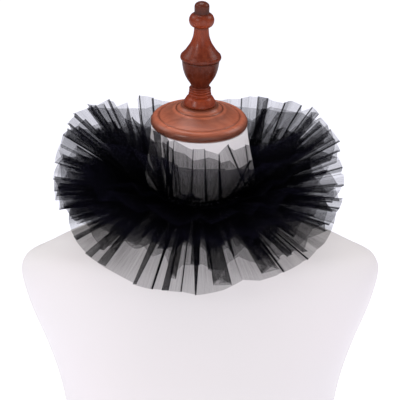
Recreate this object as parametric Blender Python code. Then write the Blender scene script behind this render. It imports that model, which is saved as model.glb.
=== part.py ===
"""A ruff collar of pleated tulle on a dress form with a turned wooden neck cap and finial.

The form stands on its flat bottom and faces -Y. Lengths below are in millimetres and angles in degrees.
"""
from math import cos, pi, radians, sin, tau

import bmesh
import bpy
from mathutils import Matrix, Vector

MM = 0.001
SEAM_MERGE = 0.001
SHARP_ANGLE = 40.0

# Dress form: closed rings from the bottom up. Front and back are the ring's reach from its middle line.
FORM_SEGMENTS = 48
FORM_COLUMNS = ("height", "middle", "half_width", "front", "back", "power", "tilt")
FORM_RINGS = (
    (0.0, 0.0, 146.0, 108.0, 96.0, 2.2, 0.0),
    (45.0, 0.0, 132.0, 100.0, 85.0, 2.2, 0.0),
    (100.0, 0.0, 132.0, 104.0, 82.0, 2.2, 0.0),
    (145.0, 0.0, 138.0, 118.0, 88.0, 2.2, 0.0),
    (190.0, 0.0, 143.5, 136.0, 94.0, 2.2, 0.0),
    (225.0, 0.0, 146.5, 139.0, 98.0, 2.2, 0.0),
    (264.0, 0.0, 155.0, 131.0, 101.0, 2.2, 0.0),
    (300.0, 1.0, 168.0, 119.0, 102.0, 2.2, 0.0),
    (335.0, 3.0, 184.0, 108.0, 100.0, 2.15, 0.0),
    (362.0, 5.0, 193.0, 100.0, 97.0, 2.1, 0.0),
    (376.0, 6.0, 195.0, 95.0, 94.0, 2.05, 0.0),
    (386.0, 7.0, 192.0, 92.0, 90.0, 2.0, 0.0),
    (394.0, 8.0, 184.0, 89.0, 86.0, 1.95, 0.0),
    (403.0, 9.0, 165.0, 86.0, 81.0, 1.85, 0.0),
    (411.0, 9.0, 149.0, 83.0, 77.5, 1.8, 0.0),
    (418.5, 9.0, 132.0, 80.5, 74.0, 1.75, 0.0),
    (426.0, 8.0, 112.0, 77.0, 70.5, 1.75, 0.0),
    (432.5, 6.0, 94.0, 72.5, 67.0, 1.8, 1.0),
    (438.5, 4.0, 78.0, 67.5, 64.5, 1.9, 2.0),
    (445.0, 2.0, 64.5, 62.0, 61.0, 2.0, 3.5),
    (453.0, 0.0, 59.3, 59.3, 59.3, 2.0, 5.0),
    (472.0, -1.9, 59.2, 59.2, 59.2, 2.0, 6.0),
    (486.0, -4.3, 57.6, 56.6, 57.0, 2.0, 10.0),
    (503.0, -8.0, 54.4, 53.5, 54.0, 2.0, 14.0),
    (519.0, -11.8, 51.9, 51.4, 51.6, 2.0, 16.5),
    (534.4, -15.7, 50.2, 50.0, 50.0, 2.0, 17.5),
)
NECK_TURN = (486.0, 534.4)
NECK_SHIFT = -0.9

# Neck cap and finial: both are turned about an axis that leans forward, and a little to the right, from the cap's middle.
CAP_MIDDLE = (-0.8, -17.0, 538.5)
CAP_LEAN = 17.5
CAP_ROLL = 1.3
CAP_SEGMENTS = 36
CAP_COLUMNS = ("radius", "height")
CAP_PROFILE = (
    (0.0, -4.0),
    (49.2, -4.0),
    (51.2, -1.6),
    (50.8, 1.2),
    (48.2, 4.6),
    (44.8, 5.9),
    (42.2, 5.0),
    (40.4, 6.3),
    (32.6, 10.2),
    (25.6, 13.7),
    (23.4, 14.4),
    (20.2, 16.4),
    (19.4, 17.6),
    (0.0, 17.7),
)
FINIAL_SEGMENTS = 24
FINIAL_COLUMNS = ("radius", "height")
FINIAL_PROFILE = (
    (0.0, 18.0),
    (15.6, 18.0),
    (17.1, 19.4),
    (16.4, 21.6),
    (14.4, 25.0),
    (12.8, 27.4),
    (10.6, 28.6),
    (11.9, 30.4),
    (10.4, 31.9),
    (11.4, 33.4),
    (10.3, 34.9),
    (11.3, 36.3),
    (9.2, 37.9),
    (10.7, 42.2),
    (13.7, 46.7),
    (16.2, 51.6),
    (18.7, 61.0),
    (19.3, 66.6),
    (21.1, 70.6),
    (20.2, 73.0),
    (14.1, 80.5),
    (9.5, 89.1),
    (7.6, 98.5),
    (7.6, 103.0),
    (12.2, 106.4),
    (12.9, 109.8),
    (12.2, 113.2),
    (7.8, 117.0),
    (7.6, 124.4),
    (0.0, 129.2),
)

# Collar: everything is sewn round one ring that leans forward with the neck.
RING_MIDDLE = (0.0, -1.0, 463.0)
RING_LEAN = 5.5
WALL = 1.2
BAND_RADIUS = 60.4
BAND_HALF_HEIGHT = 9.2
BAND_SEGMENTS = 64

PLEATS = 33
PLEAT_STEPS = (0.0, 0.30, 0.50, 0.80)
PLEAT_CREST = (1.0, 1.0, -1.0, -1.0)
ROOT_RADIUS = 62.1
ROOT_WAVE = 0.45
SIDES = ("front", "right", "back", "left")
ROW_REACH = (0.0, 0.28, 0.62, 1.0)
# Angles are up from the ring's plane, and a reach runs from the root to the free edge.
FLOUNCE_COLUMNS = (
    "root_height", "front_angle", "right_angle", "back_angle", "left_angle",
    "front_reach", "right_reach", "back_reach", "left_reach", "wave", "phase",
)
FLOUNCES = (
    (8.0, 51.5, 49.5, 52.5, 50.5, 80.0, 92.0, 86.0, 98.0, 0.078, 0.00),
    (4.8, 30.0, 36.0, 38.5, 36.0, 90.0, 93.0, 90.0, 98.0, 0.078, 0.37),
    (1.6, 10.0, 24.0, 23.0, 24.0, 91.0, 92.0, 92.0, 96.0, 0.078, 0.71),
    (-1.6, -9.0, 12.5, 6.0, 12.5, 91.0, 90.0, 92.3, 92.0, 0.078, 0.18),
    (-4.8, -27.0, 1.0, -11.0, 1.0, 90.0, 86.0, 90.0, 88.0, 0.078, 0.55),
    (-8.0, -45.0, -11.0, -28.0, -11.0, 88.0, 85.0, 88.0, 85.0, 0.075, 0.86),
)
# Where the top flounce's free edge falls short: azimuth from the front, half width, and loss of reach.
NOTCH_COLUMNS = ("azimuth", "half_width", "loss")
TOP_NOTCHES = (
    (-168.0, 12.0, 15.0),
    (-133.0, 8.0, 11.0),
    (112.0, 7.0, 6.0),
)


def table(columns, rows):
    """The rows as dictionaries keyed by the column names."""
    return [dict(zip(columns, row)) for row in rows]


def leaned(point, middle, lean):
    """A point given about an upright axis, leaned forward (to -Y) about X and set on its middle."""
    x, y, z = point
    a = radians(lean)
    return (
        middle[0] + x,
        middle[1] + y * cos(a) - z * sin(a),
        middle[2] + y * sin(a) + z * cos(a),
    )


def add_object(name, bm, material):
    """The finished mesh as an object of its own, shaded smooth but for its sharp edges."""
    for point in bm.verts:
        point.co *= MM
    mesh = bpy.data.meshes.new(name)
    bm.to_mesh(mesh)
    bm.free()
    mesh.materials.append(material)
    mesh.shade_smooth()
    mesh.set_sharp_from_angle(angle=radians(SHARP_ANGLE))
    obj = bpy.data.objects.new(name, mesh)
    bpy.context.scene.collection.objects.link(obj)
    return obj


def add_material(name, colour, roughness):
    material = bpy.data.materials.new(name)
    material.use_nodes = True
    shader = material.node_tree.nodes["Principled BSDF"]
    shader.inputs["Base Color"].default_value = (*colour, 1.0)
    shader.inputs["Roughness"].default_value = roughness
    return material


def wrapped(rings):
    """A tube: a flat grid with a row for each ring of points, bent round and closed along its seam."""
    rows, columns = len(rings), len(rings[0])
    bm = bmesh.new()
    bmesh.ops.create_grid(bm, x_segments=columns, y_segments=rows - 1, size=1.0)
    bm.verts.ensure_lookup_table()
    for index, point in enumerate(bm.verts):
        row, column = divmod(index, columns + 1)
        point.co = Vector(rings[row][column % columns])
    bmesh.ops.remove_doubles(bm, verts=bm.verts, dist=SEAM_MERGE)
    return bm


def form_ring(ring):
    """One closed ring of the form: a rounded oval with its own reach to the front and to the back.

    Towards its top the neck takes up the cap's roll and its shift to the side.
    """
    share = min(max((ring["height"] - NECK_TURN[0]) / (NECK_TURN[1] - NECK_TURN[0]), 0.0), 1.0)
    roll = radians(CAP_ROLL) * share
    points = []
    for i in range(FORM_SEGMENTS):
        t = tau * i / FORM_SEGMENTS
        c, s = cos(t), sin(t)
        reach = ring["back"] if s > 0 else ring["front"]
        scale = (abs(c) ** ring["power"] + abs(s) ** ring["power"]) ** (-1.0 / ring["power"])
        across = ring["half_width"] * c * scale
        rolled = (across * cos(roll), reach * s * scale, -across * sin(roll))
        points.append(leaned(rolled, (NECK_SHIFT * share, ring["middle"], ring["height"]), ring["tilt"]))
    return points


def make_form(material):
    bm = wrapped([form_ring(ring) for ring in table(FORM_COLUMNS, FORM_RINGS)])
    bmesh.ops.holes_fill(bm, edges=[edge for edge in bm.edges if edge.is_boundary], sides=0)
    bmesh.ops.recalc_face_normals(bm, faces=bm.faces)
    return add_object("dress_form", bm, material)


def make_turned(name, columns, profile, segments, material):
    """A turned solid: its profile is spun round the cap's leaning axis, from the axis up to the axis."""
    bm = bmesh.new()
    chain = [bm.verts.new((row["radius"], 0.0, row["height"])) for row in table(columns, profile)]
    edges = [bm.edges.new(pair) for pair in zip(chain, chain[1:])]
    bmesh.ops.spin(
        bm, geom=chain + edges, cent=(0.0, 0.0, 0.0), axis=(0.0, 0.0, 1.0), angle=tau, steps=segments, use_merge=True,
    )
    bmesh.ops.remove_doubles(bm, verts=bm.verts, dist=SEAM_MERGE)
    bmesh.ops.recalc_face_normals(bm, faces=bm.faces)
    place = (
        Matrix.Translation(CAP_MIDDLE)
        @ Matrix.Rotation(radians(CAP_LEAN), 4, "X")
        @ Matrix.Rotation(radians(CAP_ROLL), 4, "Y")
    )
    bmesh.ops.transform(bm, matrix=place, verts=bm.verts)
    return add_object(name, bm, material)


def thicken(obj):
    solid = obj.modifiers.new("Wall", "SOLIDIFY")
    solid.thickness = WALL * MM
    solid.offset = 0.0
    solid.use_even_offset = True
    solid.use_rim = True


def make_band(material):
    rings = []
    for height in (-BAND_HALF_HEIGHT, BAND_HALF_HEIGHT):
        turns = [tau * i / BAND_SEGMENTS for i in range(BAND_SEGMENTS)]
        flat = [(BAND_RADIUS * cos(t), BAND_RADIUS * sin(t), height) for t in turns]
        rings.append([leaned(point, RING_MIDDLE, RING_LEAN) for point in flat])
    obj = add_object("neckband", wrapped(rings), material)
    thicken(obj)
    return obj


def round_the_ring(front, right, back, left, turn):
    """A smooth value round the ring that meets the four given ones at front, right, back and left."""
    mean = (front + right + back + left) / 4.0
    twice = (front + back - right - left) / 4.0
    return mean + (front - back) / 2.0 * cos(turn) + (right - left) / 2.0 * sin(turn) + twice * cos(2.0 * turn)


def notch_loss(turn):
    """How far the top flounce's free edge falls short at this azimuth."""
    loss = 0.0
    for notch in table(NOTCH_COLUMNS, TOP_NOTCHES):
        away = (turn - radians(notch["azimuth"]) + pi) % tau - pi
        loss += notch["loss"] * max(0.0, 1.0 - (away / radians(notch["half_width"])) ** 2)
    return loss


def uneven(seed, rate):
    """A settled but uneven number from -1 to 1, the same on every run."""
    return sin(seed * rate + 1.7 * sin(seed * 0.61 * rate + 0.9))


def pleat_turn(row, index, column):
    """The azimuth of one column of a flounce, its pleat and its step within that pleat."""
    pleat, step = divmod(column, len(PLEAT_STEPS))
    drift = 0.08 * uneven(pleat + 11.0 * index, 2.4)
    width = 1.0 + 0.018 * uneven(pleat + 5.0 * index, 3.7)
    share = pleat + row["phase"] + drift + PLEAT_STEPS[step] * width
    return tau * share / PLEATS, pleat, step


def flounce_rings(row, index):
    """The middle surface of one flounce: a ring for each share of its reach, from the root to the free edge."""
    rings = []
    for reach_share in ROW_REACH:
        ring = []
        for column in range(PLEATS * len(PLEAT_STEPS)):
            turn, pleat, step = pleat_turn(row, index, column)
            angle = radians(round_the_ring(*(row[side + "_angle"] for side in SIDES), turn))
            full = round_the_ring(*(row[side + "_reach"] for side in SIDES), turn)
            full += 2.0 * uneven(pleat + 3.0 * index, 1.9)
            if index == 0:
                full -= notch_loss(turn)
            out = full * reach_share
            depth = ROOT_WAVE + row["wave"] * out * (1.0 + 0.14 * uneven(pleat + 7.0 * index, 2.9))
            lift = depth * PLEAT_CREST[step]
            radial = ROOT_RADIUS + out * cos(angle) - lift * sin(angle)
            height = row["root_height"] + out * sin(angle) + lift * cos(angle)
            flat = (radial * sin(turn), -radial * cos(turn), height)
            ring.append(leaned(flat, RING_MIDDLE, RING_LEAN))
        rings.append(ring)
    return rings


def make_flounces(material):
    for index, row in enumerate(table(FLOUNCE_COLUMNS, FLOUNCES)):
        obj = add_object(f"flounce_{index + 1}", wrapped(flounce_rings(row, index)), material)
        thicken(obj)


def main():
    for obj in list(bpy.data.objects):
        bpy.data.objects.remove(obj, do_unlink=True)
    cover = add_material("form_cover", (0.80, 0.77, 0.78), 0.7)
    wood = add_material("turned_wood", (0.24, 0.08, 0.05), 0.35)
    ribbon = add_material("neckband_ribbon", (0.02, 0.02, 0.02), 0.5)
    tulle = add_material("tulle", (0.02, 0.02, 0.025), 0.6)
    make_form(cover)
    make_turned("neck_cap", CAP_COLUMNS, CAP_PROFILE, CAP_SEGMENTS, wood)
    make_turned("finial", FINIAL_COLUMNS, FINIAL_PROFILE, FINIAL_SEGMENTS, wood)
    make_band(ribbon)
    make_flounces(tulle)


main()
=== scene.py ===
"""Ruff collar on a dress form: pleated tulle plies, neckband, covered form, turned wood and studio."""
from math import cos, pi, radians, sin, tau
from random import Random

import bmesh
import bpy
from bpy.props import FloatProperty, FloatVectorProperty, PointerProperty
from mathutils import Matrix, Vector


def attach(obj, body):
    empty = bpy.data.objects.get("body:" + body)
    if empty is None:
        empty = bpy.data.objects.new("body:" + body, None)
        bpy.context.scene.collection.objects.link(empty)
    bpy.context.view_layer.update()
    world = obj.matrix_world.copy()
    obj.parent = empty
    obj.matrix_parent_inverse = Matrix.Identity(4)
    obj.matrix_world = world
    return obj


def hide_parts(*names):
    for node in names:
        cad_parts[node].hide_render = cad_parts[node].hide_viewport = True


bl_info = {
    "name": "Ruff Collar on a Dress Form",
    "version": (1, 0, 0),
    "blender": (4, 5, 0),
    "location": "3D View > Sidebar > Ruff",
    "description": "Builds a tulle ruff collar on a dress form with a turned wooden neck cap and finial",
    "category": "Object",
}

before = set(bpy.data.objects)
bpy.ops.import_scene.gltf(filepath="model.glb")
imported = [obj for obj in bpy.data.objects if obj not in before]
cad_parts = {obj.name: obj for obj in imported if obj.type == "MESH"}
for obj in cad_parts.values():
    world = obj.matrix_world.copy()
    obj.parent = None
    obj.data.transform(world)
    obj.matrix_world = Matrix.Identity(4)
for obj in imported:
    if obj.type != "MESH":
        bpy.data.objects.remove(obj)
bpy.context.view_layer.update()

# Lengths in these tables are in millimetres and angles in degrees, unless a name or comment says otherwise.
# The settings hold metres, as Blender's own do.
MM = 0.001
SEAM_MERGE = 1e-5
AXIS_MERGE = 1e-4

# ---------------------------------------------------------------- sizes shared with the solids

FORM_COLUMNS = ("height", "middle", "half_width", "front", "back", "power", "tilt")
FORM_RINGS = (
    (0.0, 0.0, 146.0, 108.0, 96.0, 2.2, 0.0),
    (30.0, 0.0, 136.0, 102.0, 88.0, 2.2, 0.0),
    (62.0, 0.0, 130.0, 99.0, 82.0, 2.2, 0.0),
    (100.0, 0.0, 132.0, 104.0, 82.0, 2.2, 0.0),
    (145.0, 0.0, 138.0, 118.0, 88.0, 2.2, 0.0),
    (190.0, 0.0, 143.5, 136.0, 94.0, 2.2, 0.0),
    (225.0, 0.0, 146.5, 139.0, 98.0, 2.2, 0.0),
    (264.0, 0.0, 155.0, 131.0, 101.0, 2.2, 0.0),
    (300.0, 1.0, 168.0, 119.0, 102.0, 2.2, 0.0),
    (335.0, 3.0, 184.0, 108.0, 100.0, 2.15, 0.0),
    (362.0, 5.0, 193.0, 100.0, 97.0, 2.1, 0.0),
    (376.0, 6.0, 195.0, 95.0, 94.0, 2.05, 0.0),
    (386.0, 7.0, 192.0, 92.0, 90.0, 2.0, 0.0),
    (394.0, 8.0, 184.0, 89.0, 86.0, 1.95, 0.0),
    (403.0, 9.0, 165.0, 86.0, 81.0, 1.85, 0.0),
    (411.0, 9.0, 149.0, 83.0, 77.5, 1.8, 0.0),
    (418.5, 9.0, 132.0, 80.5, 74.0, 1.75, 0.0),
    (426.0, 8.0, 112.0, 77.0, 70.5, 1.75, 0.0),
    (432.5, 6.0, 94.0, 72.5, 67.0, 1.8, 1.0),
    (438.5, 4.0, 78.0, 67.5, 64.5, 1.9, 2.0),
    (445.0, 2.0, 64.5, 62.0, 61.0, 2.0, 3.5),
    (453.0, 0.0, 59.3, 59.3, 59.3, 2.0, 5.0),
    (472.0, -1.9, 59.2, 59.2, 59.2, 2.0, 6.0),
    (486.0, -4.3, 57.6, 56.6, 57.0, 2.0, 10.0),
    (503.0, -8.0, 54.4, 53.5, 54.0, 2.0, 14.0),
    (519.0, -11.8, 51.9, 51.4, 51.6, 2.0, 16.5),
    (534.4, -15.7, 50.2, 50.0, 50.0, 2.0, 17.5),
)
# Between these heights the neck takes up the cap's roll, and its shift to the side.
NECK_TURN = (486.0, 534.4)
NECK_SHIFT = -0.9
FORM_SEGMENTS = 144
FORM_STEPS_PER_RING = 4
FORM_SHARP_ANGLE = 60.0

CAP_MIDDLE = (-0.8, -17.0, 538.5)
CAP_LEAN = 17.5
CAP_ROLL = 1.3
# Turned profiles: radius and height of each point, and "c" where the outline has a corner.
CAP_PROFILE = (
    (0.0, -4.0, "c"), (49.0, -4.0, "c"), (50.2, -3.3, ""), (51.2, -1.4, ""), (50.9, 0.8, ""),
    (49.8, 2.9, ""), (47.6, 4.9, ""), (45.0, 5.9, ""), (43.2, 5.7, ""), (42.3, 5.0, "c"), (41.6, 5.7, ""),
    (39.6, 6.6, ""), (35.4, 8.8, ""), (31.0, 11.2, ""), (27.6, 13.1, ""), (26.0, 13.9, ""),
    (24.9, 13.9, ""), (24.3, 13.4, "c"), (23.4, 14.3, ""), (21.6, 15.2, ""), (20.4, 16.3, ""),
    (19.6, 17.4, "c"), (18.6, 17.7, ""), (16.0, 17.7, ""), (0.0, 17.7, "c"),
)
FINIAL_PROFILE = (
    (0.0, 18.0, "c"), (15.2, 18.0, "c"), (16.5, 18.5, ""), (17.2, 19.8, ""), (16.5, 21.8, ""),
    (15.2, 24.0, ""), (13.9, 26.2, ""), (12.6, 27.6, ""), (11.0, 28.3, ""), (10.7, 28.8, "c"),
    (11.6, 29.5, ""), (11.9, 30.4, ""), (11.5, 31.3, ""), (10.6, 31.9, "c"), (11.3, 32.6, ""),
    (11.5, 33.4, ""), (11.3, 34.2, ""), (10.5, 34.8, "c"), (11.2, 35.4, ""), (11.4, 36.2, ""),
    (11.1, 36.9, ""), (9.6, 37.5, ""), (9.1, 38.0, "c"), (9.4, 39.4, ""), (10.7, 42.2, ""),
    (13.7, 46.7, ""), (16.2, 51.6, ""), (17.8, 56.5, ""), (18.7, 61.0, ""), (19.2, 65.0, ""),
    (19.4, 67.0, ""), (18.8, 67.9, "c"), (20.4, 68.5, ""), (21.1, 69.6, ""), (21.1, 71.0, ""),
    (20.5, 72.6, "c"), (19.9, 72.7, "c"), (18.6, 74.6, ""), (17.9, 75.5, "c"), (17.4, 75.7, ""),
    (14.1, 80.5, ""), (11.4, 84.8, ""), (9.5, 89.1, ""), (8.3, 93.4, ""), (7.7, 98.0, ""), (7.5, 101.6, ""),
    (7.4, 102.9, "c"), (9.4, 103.4, ""), (11.2, 104.8, ""), (12.4, 107.0, ""), (12.9, 109.8, ""),
    (12.4, 112.6, ""), (11.1, 115.0, ""), (9.2, 116.6, ""), (7.8, 117.1, "c"), (7.6, 117.8, ""),
    (7.6, 121.0, ""), (7.6, 124.0, ""), (7.2, 125.9, ""), (5.8, 127.5, ""), (3.4, 128.7, ""),
    (0.0, 129.2, ""),
)
TURNED_SEGMENTS = 96
PROFILE_STEPS = 3
WOOD_SHARP_ANGLE = 50.0
# Painted shade and highlights on the wood: how much of its colour is left at a radius on the cap, and at
# a height on the finial. Grooves, the cap rim's underside and the finial's lower urn are painted darker as
# shade, and the cap's ridges lighter as painted highlights.
CAP_PAINTED_SHADING = (
    (0.0, 0.5), (17.5, 0.62), (19.2, 0.3), (20.2, 0.7), (21.5, 0.95), (23.2, 0.75), (24.4, 0.42),
    (25.6, 0.8), (26.6, 1.0), (27.8, 0.88), (29.2, 0.62), (32.0, 0.66), (36.0, 0.76), (40.2, 0.92),
    (41.4, 0.8), (42.6, 0.62), (43.8, 0.8), (45.2, 1.0), (47.2, 0.94), (49.0, 0.68), (50.0, 0.48),
    (51.2, 0.26),
)
FINIAL_PAINTED_SHADING = (
    (18.0, 0.36), (27.0, 0.55), (37.0, 0.38), (39.5, 0.13), (48.0, 0.17), (66.0, 0.19), (68.2, 0.12),
    (71.0, 0.28), (80.0, 0.32), (88.0, 0.4), (101.0, 0.4), (103.0, 0.2), (106.0, 0.42), (116.0, 0.36),
    (118.0, 0.11), (128.0, 0.2),
)
# How fine the grain is along X, Y and Z of the turned piece.
CAP_GRAIN = (1.0, 4.0, 4.0)
FINIAL_GRAIN = (4.0, 4.0, 1.0)
# Least roughness of the varnish, and how much the grain adds. Gloss is the shader's specular level.
WOOD_ROUGHNESS = (0.24, 0.20)
CAP_GLOSS = 0.7
FINIAL_GLOSS = 0.5

RING_MIDDLE = (0.0, -1.0, 463.0)
RING_LEAN = 5.5
BAND_RADIUS = 60.4
BAND_HALF_HEIGHT = 9.2
BAND_SEGMENTS = 192
BAND_ROWS = 5
# At the front the ribbon's upper edge dips by this much, and the upper roots with it. The power makes the dip
# narrow.
FRONT_DIP = 8.0
FRONT_DIP_POWER = 6

# ---------------------------------------------------------------- the tulle's plies

ROOT_RADIUS = 62.1
# Angles are up from the ring's plane and reaches run from the root to the free edge. Swings are how far the
# folds stand off the ply's own surface at the free edge, and pitches how far apart they are at PITCH_RADIUS.
# All four are given at eight places round the ring: front, front right, right, back right, back, back left,
# left and front left. Spread turns the roots towards the sides, soft folds are rounded ones, and ragged is
# how unevenly the folds end.
PLY_COLUMNS = (
    "name", "node", "root_height",
    "angles", "reaches",
    "swings", "pitches", "spread", "soft", "ragged", "seed",
)
PLIES = (
    ("tulle_1_upper", "flounce_1", 8.6,
     (52, 52, 54, 56, 57, 56.5, 55, 66), (88, 86, 97, 87, 84, 91, 100, 98),
     (2, 4, 9, 10, 8, 8, 8, 9), (22, 22, 18, 16, 14, 18, 18, 15), 0.30, 0, 1.0, 11),
    ("tulle_1_lower", "flounce_1", 7.2,
     (46, 45, 45, 47, 49, 49, 47.5, 60), (76, 64, 66, 66, 66, 62, 70, 92),
     (2, 3, 7, 8, 6, 5, 8, 9), (22, 20, 14, 14, 12, 16, 14, 13), 0.30, 0, 2.0, 12),
    ("tulle_2_upper", "flounce_2", 5.6,
     (40, 39, 39, 40.5, 42, 41, 39.5, 48), (76, 78, 97, 95, 89, 97, 102, 92),
     (1, 2, 3, 3, 3, 3, 3, 4), (30, 28, 26, 26, 26, 24, 24, 24), 0.30, 0, 0.5, 21),
    ("tulle_2_lower", "flounce_2", 4.2,
     (13, 25, 33, 36, 35, 35.5, 33, 26), (46, 60, 97, 90, 80, 84, 99, 74),
     (1.5, 6, 11, 11, 8, 7, 12, 8), (18, 20, 19, 16, 14, 18, 16, 16), 0.15, 0, 1.4, 22),
    ("tulle_3_upper", "flounce_3", 2.4,
     (5, 17, 27, 28.5, 27, 29.5, 28.5, 18), (80, 82, 96, 86, 82, 82, 101, 92),
     (5, 8, 11, 11, 8, 7, 12, 9), (14, 19, 21, 18, 15, 18, 17, 15), 0.0, 0, 1.6, 31),
    ("tulle_3_lower", "flounce_3", 1.0,
     (0, 11, 22, 21, 19, 23, 24, 13), (60, 58, 62, 62, 62, 62, 68, 64),
     (5, 6, 7, 6, 6, 6, 7, 7), (10, 11, 12, 12, 12, 12, 10, 10), 0.0, 1, 2.4, 32),
    ("tulle_4_upper", "flounce_4", -1.0,
     (-7, 4.5, 15.5, 14.5, 10, 12, 12, 2), (84, 90, 94, 97, 92, 96, 97, 90),
     (5, 4, 3, 3, 3, 3, 4, 4), (14, 20, 26, 27, 26, 24, 20, 16), 0.0, 0, 0.5, 41),
    ("tulle_4_lower", "flounce_4", -2.4,
     (-16, -4, 9.5, 7.5, 2, 6, 7, -5), (71, 76, 84, 81, 76, 86, 95, 80),
     (8, 9, 5, 9, 8, 8, 11, 10), (14, 19, 26, 20, 15, 14, 15, 14), 0.0, 1, 1.6, 42),
    ("tulle_5_upper", "flounce_5", -4.2,
     (-25, -12, 3.5, 0, -7, -1, 2.5, -12), (54, 68, 48, 64, 70, 84, 92, 72),
     (7, 8, 6, 7, 7, 8, 9, 8), (14, 14, 17, 14, 13, 13, 13, 13), 0.0, 1, 2.0, 51),
    ("tulle_5_lower", "flounce_5", -5.6,
     (-31, -19, -3, -7, -15, -7, -3, -19), (52, 78, 91, 92, 88, 91, 90, 62),
     (6, 10, 9, 8, 8, 7, 6, 6), (15, 17, 23, 20, 15, 15, 17, 16), 0.0, 0, 1.4, 52),
    ("tulle_6_upper", "flounce_6", -7.2,
     (-41, -27, -8, -14, -24, -14, -8, -26), (62, 74, 76, 73, 74, 74, 74, 64),
     (3, 6, 8, 7, 7, 7, 7, 5), (18, 17, 15, 15, 14, 12, 12, 15), 0.0, 0, 1.8, 61),
    ("tulle_6_lower", "flounce_6", -8.6,
     (-46.5, -31, -11.5, -20, -32, -21, -12, -33), (90, 88, 86, 88, 88, 87, 81, 89.5),
     (1, 2, 3, 3, 3, 3, 3, 2), (26, 25, 24, 25, 26, 25, 24, 25), 0.0, 0, 0.4, 62),
)
TOP_PLY = "tulle_1_upper"
CLOSE_PLY = "tulle_6_lower"
PLY_ROWS = 15

# Spans of azimuth from the front whose folds are all placed one by one.
PLACED_SPANS = {
    "tulle_1_upper": ((-176, -70), (-40, 64), (84, 162)),
    "tulle_1_lower": ((-102, -62), (-42, 40)),
    "tulle_2_upper": ((-122, -62), (-40, 42)),
    "tulle_2_lower": ((-14, 6),),
    "tulle_3_upper": ((62, 92),),
    "tulle_3_lower": ((48, 90),),
    "tulle_4_upper": ((57, 102),),
    "tulle_4_lower": ((48, 90),),
    "tulle_5_upper": ((60, 110),),
    "tulle_5_lower": ((58, 108),),
    "tulle_6_upper": ((-64, 104),),
    "tulle_6_lower": ((-62, 56),),
}
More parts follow.
